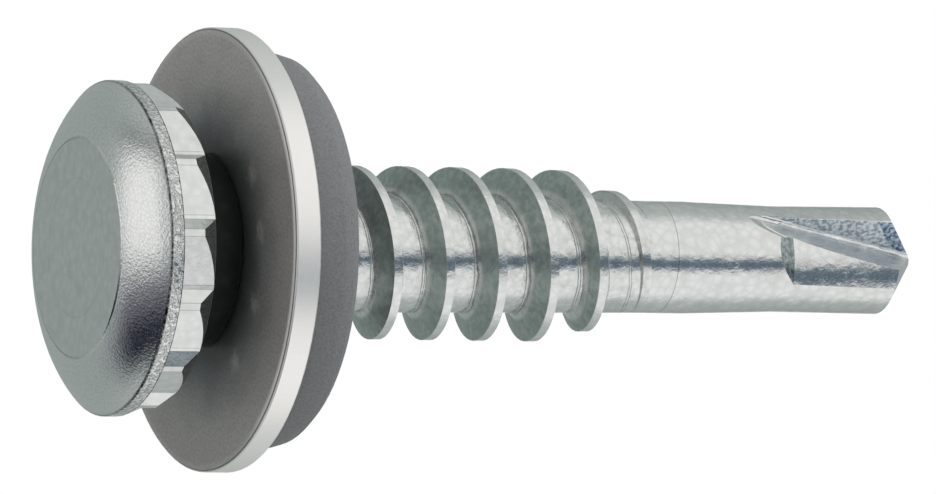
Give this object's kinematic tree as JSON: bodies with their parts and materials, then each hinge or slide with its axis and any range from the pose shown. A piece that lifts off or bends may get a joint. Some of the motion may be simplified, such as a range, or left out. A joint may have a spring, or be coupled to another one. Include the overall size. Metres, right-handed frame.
{
  "type": "self drilling screw",
  "caption": "Self drilling screw standing on its head: low mushroom cap over a ratchet-toothed drive collar, captive bonded sealing washer, coarse right-hand thread and fluted drill point.",
  "frame": {"origin": "middle of the flat on the head, on the surface it stands on", "axes": "+Z along the screw's axis, from the head to the drill point; +X and +Y across it"},
  "size_m": [0.016, 0.016, 0.0333],
  "materials": {
    "zinc_plate": "bright zinc plating with a fine mottle",
    "washer_metal": "satin",
    "seal_rubber": "matte, fine grain"
  },
  "bodies": {
    "screw_body": {"screw": "zinc_plate"},
    "sealing_washer": {"metal_washer": "washer_metal", "rubber_seal": "seal_rubber"}
  },
  "joints": [
    {"name": "washer_spin", "type": "hinge", "parent": "screw_body", "child": "sealing_washer", "pos_m": [0, 0, 0.00552], "axis": [0, 0, 1], "continuous": true}
  ]
}
